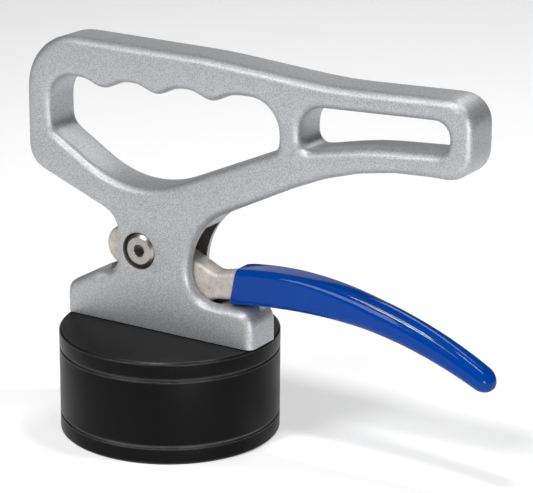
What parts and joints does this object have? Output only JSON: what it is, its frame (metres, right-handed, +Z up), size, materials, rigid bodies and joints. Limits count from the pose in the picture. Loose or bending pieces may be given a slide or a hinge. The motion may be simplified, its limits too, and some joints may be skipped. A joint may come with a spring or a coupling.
{
  "type": "welding magnet holder",
  "caption": "Hand-held magnet holder: round magnet housing under a D grip and tail bar, with a squeeze lever that pushes the steel off.",
  "frame": {"origin": "centre of the round contact face that rests on the steel", "axes": "+X from the housing's axis towards the tail bar and the lever's tip, +Y across the handle to its back, +Z up along the housing's axis"},
  "size_m": [0.1785, 0.076, 0.1341],
  "materials": {
    "cast_handle": "fine textured silver powder coat on a casting",
    "black_anodised": "satin black anodised",
    "wear_disc": "brushed stainless",
    "steel": "ground steel",
    "magnet": "nickel plated",
    "spacer": "machined",
    "black_oxide": "black oxide",
    "rubber": "moulded",
    "bronze": "turned bronze",
    "spring_steel": "bright wire",
    "lever_steel": "nickel plated casting",
    "bright_screw": "polished stainless",
    "blue_vinyl": "glossy dipped vinyl"
  },
  "bodies": {
    "root": {"handle_frame": "cast_handle", "housing_shell": "black_anodised", "base_ring": "black_anodised", "face_plate": "wear_disc", "back_plate": "steel", "magnet_holder": "spacer", "magnets": "magnet", "pole_shoes": "steel", "stack_screws": "black_oxide", "foot_screws": "black_oxide", "lock_washers": "spring_steel", "dowel_pins": "steel", "o_ring": "rubber", "wiper_seal": "rubber", "guide_bush": "bronze", "spring_seat": "spring_steel", "plunger_spring": "spring_steel", "pivot_screw": "bright_screw", "pivot_barrel": "bright_screw", "thrust_washers": "spring_steel"},
    "lever": {"lever_arm": "lever_steel", "lever_grip": "blue_vinyl", "pivot_bush": "bronze"},
    "plunger": {"plunger_head": "lever_steel", "plunger_rod": "steel", "plunger_tip": "steel", "retaining_clip": "black_oxide"}
  },
  "joints": [
    {"name": "lever_pivot", "type": "hinge", "parent": "root", "child": "lever", "pos_m": [-0.0071, 0, 0.0634], "axis": [0, -1, 0], "range_deg": [0, 25]},
    {"name": "plunger_slide", "type": "slide", "parent": "root", "child": "plunger", "axis": [0, 0, -1], "range_m": [0, 0.0042], "stiffness_N_per_m": 300, "springref_m": -0.003, "deforming": ["plunger_spring"]}
  ],
  "couplings": [
    {"joint": "plunger_slide", "follows": "lever_pivot", "m_per_rad": 0.0095}
  ]
}
